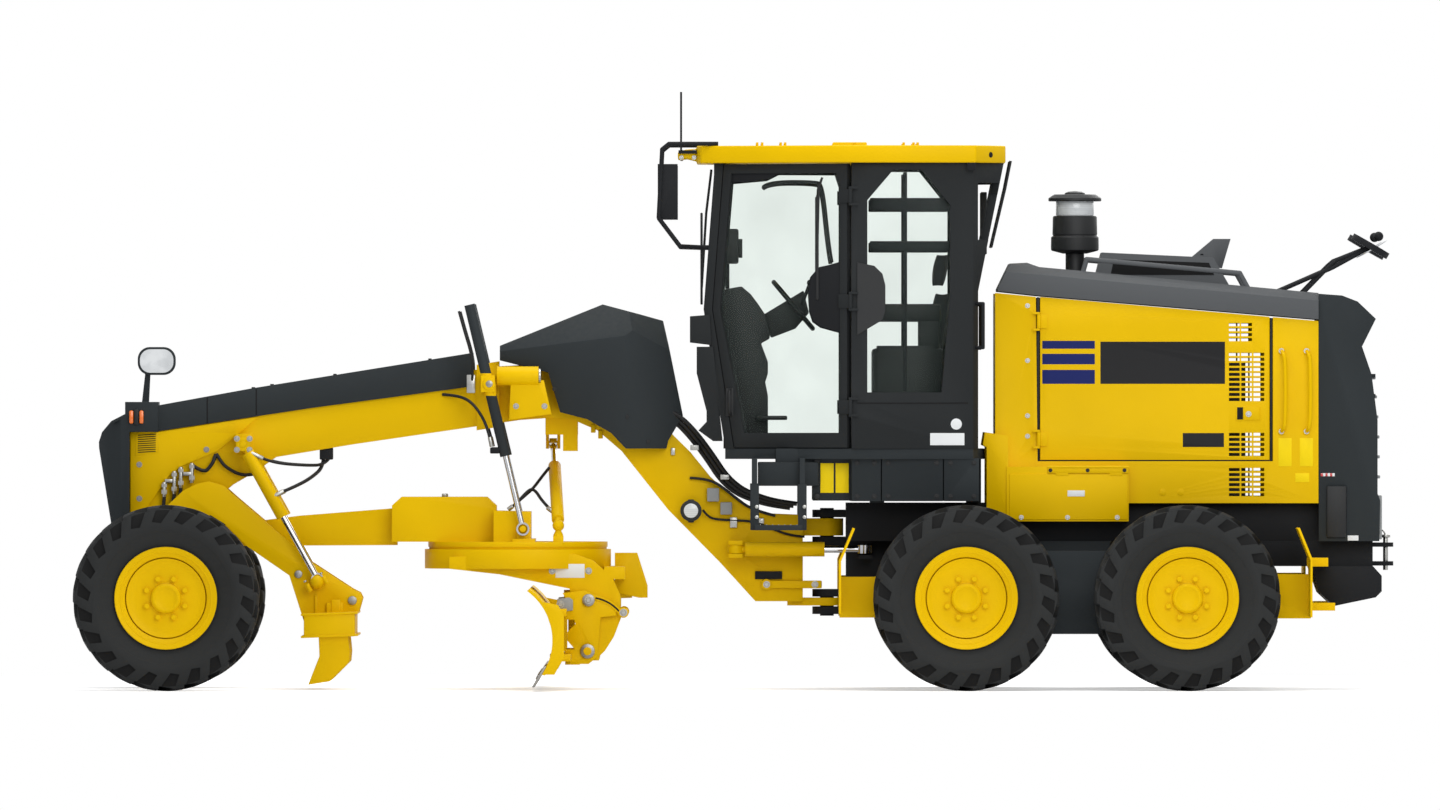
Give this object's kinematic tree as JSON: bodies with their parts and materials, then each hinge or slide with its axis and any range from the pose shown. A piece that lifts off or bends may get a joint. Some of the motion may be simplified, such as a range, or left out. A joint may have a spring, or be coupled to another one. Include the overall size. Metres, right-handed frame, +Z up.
{
  "type": "motor grader",
  "caption": "Articulated motor grader with leaning front wheels, tandem rear wheels, cab, circle-mounted blade and front scarifier.",
  "frame": {"origin": "on the ground, under the middle of the machine's box", "axes": "+X to the rear, -X the driving direction, -Y the operator's left, +Z up"},
  "size_m": [7.6299, 3.1, 3.457],
  "materials": {
    "tyre": "matt",
    "yellow": "gloss paint",
    "charcoal": "satin paint",
    "black_steel": "satin paint",
    "bare_steel": "worn",
    "chrome": "polished",
    "plastic": "moulded",
    "window": "clear",
    "mirror": "silvered",
    "amber": "clear moulded",
    "red": "clear moulded",
    "cloth": "woven",
    "iron": "painted"
  },
  "bodies": {
    "rear_frame": {"rear_frame": "black_steel", "tandem_cases": "black_steel", "engine_block": "iron", "hood_cover": "charcoal", "hood_panels": "yellow", "precleaner": "plastic", "cab_platform": "charcoal", "cab_shell": "charcoal", "cab_roof": "yellow", "cab_glass": "window", "seat": "cloth", "controls": "plastic", "mirrors_and_rails": "black_steel"},
    "front_frame": {"front_frame": "yellow", "frame_covers": "charcoal", "front_axle": "black_steel"},
    "lean_left": {"lean_bracket_left": "black_steel"},
    "lean_right": {"lean_bracket_right": "black_steel"},
    "lean_bar": {"lean_bar": "black_steel"},
    "knuckle_left": {"knuckle_left": "black_steel"},
    "knuckle_right": {"knuckle_right": "black_steel"},
    "tie_rod_ball": {"tie_rod_ball": "bare_steel"},
    "tie_rod": {"tie_rod": "black_steel"},
    "drawbar": {"drawbar": "yellow"},
    "circle": {"circle": "yellow"},
    "blade_bracket": {"blade_bracket": "yellow"},
    "moldboard": {"moldboard": "yellow", "cutting_edge": "bare_steel"},
    "lift_barrels": {"lift_barrels": "charcoal"},
    "lift_rods": {"lift_rods": "chrome"},
    "shift_rod": {"shift_rod": "chrome"},
    "shift_barrel": {"shift_barrel": "yellow"},
    "scarifier": {"scarifier": "yellow", "scarifier_arms": "yellow"},
    "scarifier_barrels": {"scarifier_barrels": "yellow"},
    "scarifier_rods": {"scarifier_rods": "chrome"},
    "tip_barrel": {"tip_barrel": "yellow"},
    "tip_rod": {"tip_rod": "chrome"},
    "articulation_barrel_left": {"articulation_barrel_left": "yellow"},
    "articulation_rod_left": {"articulation_rod_left": "chrome"},
    "cab_door_left": {"cab_door_left": "charcoal", "door_glass_left": "window"},
    "hood_door_left": {"hood_door_left": "yellow"},
    "articulation_barrel_right": {"articulation_barrel_right": "yellow"},
    "articulation_rod_right": {"articulation_rod_right": "chrome"},
    "cab_door_right": {"cab_door_right": "charcoal", "door_glass_right": "window"},
    "hood_door_right": {"hood_door_right": "yellow"},
    "wheel_front_left": {"tyre_front_left": "tyre", "rim_front_left": "yellow"},
    "wheel_front_right": {"tyre_front_right": "tyre", "rim_front_right": "yellow"},
    "wheel_tandem_front_left": {"tyre_tandem_front_left": "tyre", "rim_tandem_front_left": "yellow"},
    "wheel_tandem_front_right": {"tyre_tandem_front_right": "tyre", "rim_tandem_front_right": "yellow"},
    "wheel_tandem_rear_left": {"tyre_tandem_rear_left": "tyre", "rim_tandem_rear_left": "yellow"},
    "wheel_tandem_rear_right": {"tyre_tandem_rear_right": "tyre", "rim_tandem_rear_right": "yellow"}
  },
  "joints": [
    {"name": "articulation", "type": "hinge", "parent": "rear_frame", "child": "front_frame", "pos_m": [0.53, 0, 0.75], "axis": [0, 0, 1], "range_deg": [-25, 25]},
    {"name": "lean", "type": "hinge", "parent": "front_frame", "child": "lean_left", "pos_m": [-3.28, -0.56, 0.5], "axis": [1, 0, 0], "range_deg": [-18, 18]},
    {"name": "lean_right", "type": "hinge", "parent": "front_frame", "child": "lean_right", "pos_m": [-3.28, 0.56, 0.5], "axis": [1, 0, 0], "range_deg": [-18, 18]},
    {"name": "lean_bar", "type": "hinge", "parent": "lean_left", "child": "lean_bar", "pos_m": [-3.425, -0.56, 0.65], "axis": [1, 0, 0], "range_deg": [-18, 18]},
    {"name": "steering", "type": "hinge", "parent": "lean_left", "child": "knuckle_left", "pos_m": [-3.28, -0.8, 0.535], "axis": [0, 0, 1], "range_deg": [-40, 40]},
    {"name": "steering_right", "type": "hinge", "parent": "lean_right", "child": "knuckle_right", "pos_m": [-3.28, 0.8, 0.535], "axis": [0, 0, 1], "range_deg": [-40, 40]},
    {"name": "tie_rod_turn", "type": "hinge", "parent": "knuckle_left", "child": "tie_rod_ball", "pos_m": [-3.15, -0.8, 0.405], "axis": [0, 0, 1], "range_deg": [-40, 40]},
    {"name": "tie_rod_tilt", "type": "hinge", "parent": "tie_rod_ball", "child": "tie_rod", "pos_m": [-3.15, -0.8, 0.405], "axis": [1, 0, 0], "range_deg": [-18, 18]},
    {"name": "roll_front_left", "type": "hinge", "parent": "knuckle_left", "child": "wheel_front_left", "pos_m": [-3.28, -0.925, 0.535], "axis": [0, 1, 0], "continuous": true},
    {"name": "roll_front_right", "type": "hinge", "parent": "knuckle_right", "child": "wheel_front_right", "pos_m": [-3.28, 0.925, 0.535], "axis": [0, 1, 0], "continuous": true},
    {"name": "roll_tandem_front_left", "type": "hinge", "parent": "rear_frame", "child": "wheel_tandem_front_left", "pos_m": [1.3285, -0.925, 0.535], "axis": [0, 1, 0], "continuous": true},
    {"name": "roll_tandem_front_right", "type": "hinge", "parent": "rear_frame", "child": "wheel_tandem_front_right", "pos_m": [1.3285, 0.925, 0.535], "axis": [0, 1, 0], "continuous": true},
    {"name": "roll_tandem_rear_left", "type": "hinge", "parent": "rear_frame", "child": "wheel_tandem_rear_left", "pos_m": [2.6015, -0.925, 0.535], "axis": [0, 1, 0], "continuous": true},
    {"name": "roll_tandem_rear_right", "type": "hinge", "parent": "rear_frame", "child": "wheel_tandem_rear_right", "pos_m": [2.6015, 0.925, 0.535], "axis": [0, 1, 0], "continuous": true},
    {"name": "blade_lift", "type": "hinge", "parent": "front_frame", "child": "drawbar", "pos_m": [-3.12, 0, 0.88], "axis": [0, -1, 0], "range_deg": [-8, 9]},
    {"name": "circle_turn", "type": "hinge", "parent": "drawbar", "child": "circle", "pos_m": [-1.262, 0, 0.75], "axis": [0, 0, -1], "range_deg": [-50, 50]},
    {"name": "blade_tip", "type": "hinge", "parent": "circle", "child": "blade_bracket", "pos_m": [-0.855, 0, 0.226], "axis": [0, -1, 0], "range_deg": [-4, 25]},
    {"name": "blade_shift", "type": "slide", "parent": "blade_bracket", "child": "moldboard", "axis": [0, -1, 0], "range_m": [-0.35, 0.35]},
    {"name": "lift_barrel_swing", "type": "hinge", "parent": "front_frame", "child": "lift_barrels", "pos_m": [-1.43, 0, 1.77], "axis": [0, -1, 0], "range_deg": [-5, 5]},
    {"name": "lift_rod_slide", "type": "slide", "parent": "lift_barrels", "child": "lift_rods", "axis": [0.2316, 0, -0.9728], "range_m": [-0.31, 0.31]},
    {"name": "shift_rod_swing", "type": "hinge", "parent": "front_frame", "child": "shift_rod", "pos_m": [-1.06, 0.33, 1.425], "axis": [1, 0, 0], "range_deg": [-25, 25]},
    {"name": "shift_barrel_slide", "type": "slide", "parent": "shift_rod", "child": "shift_barrel", "axis": [0.0394, -0.8442, -0.5346], "range_m": [-0.2, 0.2]},
    {"name": "scarifier_lift", "type": "hinge", "parent": "front_frame", "child": "scarifier", "pos_m": [-3.37, 0, 0.8], "axis": [0, -1, 0], "range_deg": [-6, 10]},
    {"name": "scarifier_barrel_swing", "type": "hinge", "parent": "front_frame", "child": "scarifier_barrels", "pos_m": [-2.85, 0, 1.42], "axis": [0, -1, 0], "range_deg": [-8, 8]},
    {"name": "scarifier_rod_slide", "type": "slide", "parent": "scarifier_barrels", "child": "scarifier_rods", "axis": [0.4828, 0, -0.8757], "range_m": [-0.2, 0.2]},
    {"name": "tip_barrel_swing", "type": "hinge", "parent": "circle", "child": "tip_barrel", "pos_m": [-0.545, 0, 0.563], "axis": [0, -1, 0], "range_deg": [-20, 20]},
    {"name": "tip_rod_slide", "type": "slide", "parent": "tip_barrel", "child": "tip_rod", "axis": [-0.9991, 0, -0.0433], "range_m": [-0.2, 0.2]},
    {"name": "articulation_barrel_swing_left", "type": "hinge", "parent": "front_frame", "child": "articulation_barrel_left", "pos_m": [0, -0.28, 0.812], "axis": [0, 0, 1], "range_deg": [-10, 10]},
    {"name": "articulation_rod_slide_left", "type": "slide", "parent": "articulation_barrel_left", "child": "articulation_rod_left", "axis": [1, 0, 0], "range_m": [-0.14, 0.14]},
    {"name": "cab_door_left", "type": "hinge", "parent": "rear_frame", "child": "cab_door_left", "pos_m": [0.662, -0.812, 2.2], "axis": [0, 0, 1], "range_deg": [0, 90]},
    {"name": "hood_door_left", "type": "hinge", "parent": "rear_frame", "child": "hood_door_left", "pos_m": [1.752, -0.534, 1.8], "axis": [0, 0, -1], "range_deg": [0, 90]},
    {"name": "articulation_barrel_swing_right", "type": "hinge", "parent": "front_frame", "child": "articulation_barrel_right", "pos_m": [0, 0.28, 0.812], "axis": [0, 0, 1], "range_deg": [-10, 10]},
    {"name": "articulation_rod_slide_right", "type": "slide", "parent": "articulation_barrel_right", "child": "articulation_rod_right", "axis": [1, 0, 0], "range_m": [-0.14, 0.14]},
    {"name": "cab_door_right", "type": "hinge", "parent": "rear_frame", "child": "cab_door_right", "pos_m": [0.662, 0.812, 2.2], "axis": [0, 0, -1], "range_deg": [0, 90]},
    {"name": "hood_door_right", "type": "hinge", "parent": "rear_frame", "child": "hood_door_right", "pos_m": [1.752, 0.534, 1.8], "axis": [0, 0, 1], "range_deg": [0, 90]}
  ],
  "couplings": [
    {"joint": "lean_right", "follows": "lean", "ratio": 1},
    {"joint": "lean_bar", "follows": "lean", "ratio": -1},
    {"joint": "steering_right", "follows": "steering", "ratio": 1},
    {"joint": "tie_rod_turn", "follows": "steering", "ratio": -1},
    {"joint": "tie_rod_tilt", "follows": "lean", "ratio": -0.7},
    {"joint": "lift_barrel_swing", "follows": "blade_lift", "ratio": 0.48},
    {"joint": "lift_rod_slide", "follows": "blade_lift", "m_per_rad": -1.89},
    {"joint": "shift_rod_swing", "follows": "blade_lift", "ratio": -2},
    {"joint": "shift_barrel_slide", "follows": "blade_lift", "m_per_rad": -1.05},
    {"joint": "scarifier_barrel_swing", "follows": "scarifier_lift", "ratio": 0.69},
    {"joint": "scarifier_rod_slide", "follows": "scarifier_lift", "m_per_rad": -0.76},
    {"joint": "tip_barrel_swing", "follows": "blade_tip", "ratio": 0.28},
    {"joint": "tip_rod_slide", "follows": "blade_tip", "m_per_rad": 0.305},
    {"joint": "articulation_barrel_swing_left", "follows": "articulation", "ratio": -0.284},
    {"joint": "articulation_rod_slide_left", "follows": "articulation", "m_per_rad": -0.2765},
    {"joint": "articulation_barrel_swing_right", "follows": "articulation", "ratio": -0.284},
    {"joint": "articulation_rod_slide_right", "follows": "articulation", "m_per_rad": 0.2765}
  ]
}
